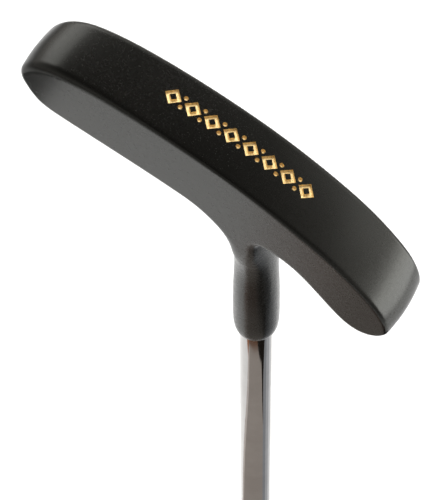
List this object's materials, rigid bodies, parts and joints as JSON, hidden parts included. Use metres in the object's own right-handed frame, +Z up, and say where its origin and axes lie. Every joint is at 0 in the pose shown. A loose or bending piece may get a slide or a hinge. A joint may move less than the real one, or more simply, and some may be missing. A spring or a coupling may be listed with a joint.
{
  "type": "blade putter",
  "caption": "Golf putter with a black rocker-sole blade head lofted on both faces, stepped chrome steel shaft and rubber pistol grip, head up.",
  "frame": {"origin": "on the shaft's axis at the butt end of the grip, with the head at the top", "axes": "+Z up the shaft from the butt to the head, +X towards the heel, +Y out of the second striking face"},
  "size_m": [0.1122, 0.0278, 0.9004],
  "materials": {
    "black_head_finish": "satin black over cast metal",
    "chrome_shaft": "mirror chrome plate",
    "epoxy": "cured adhesive",
    "brass_weight": "turned brass",
    "cork": "natural cork",
    "paper_tape": "paper tape",
    "grip_rubber": "matt moulded rubber",
    "cap_rubber": "hard moulded rubber"
  },
  "bodies": {
    "root": {"putter_head": "black_head_finish", "shaft_tube": "chrome_shaft", "hosel_bond_epoxy": "epoxy", "shaft_tip_weight": "brass_weight", "shaft_tip_cork": "cork", "grip_tape": "paper_tape", "pistol_grip": "grip_rubber", "grip_end_cap": "cap_rubber"}
  },
  "joints": []
}
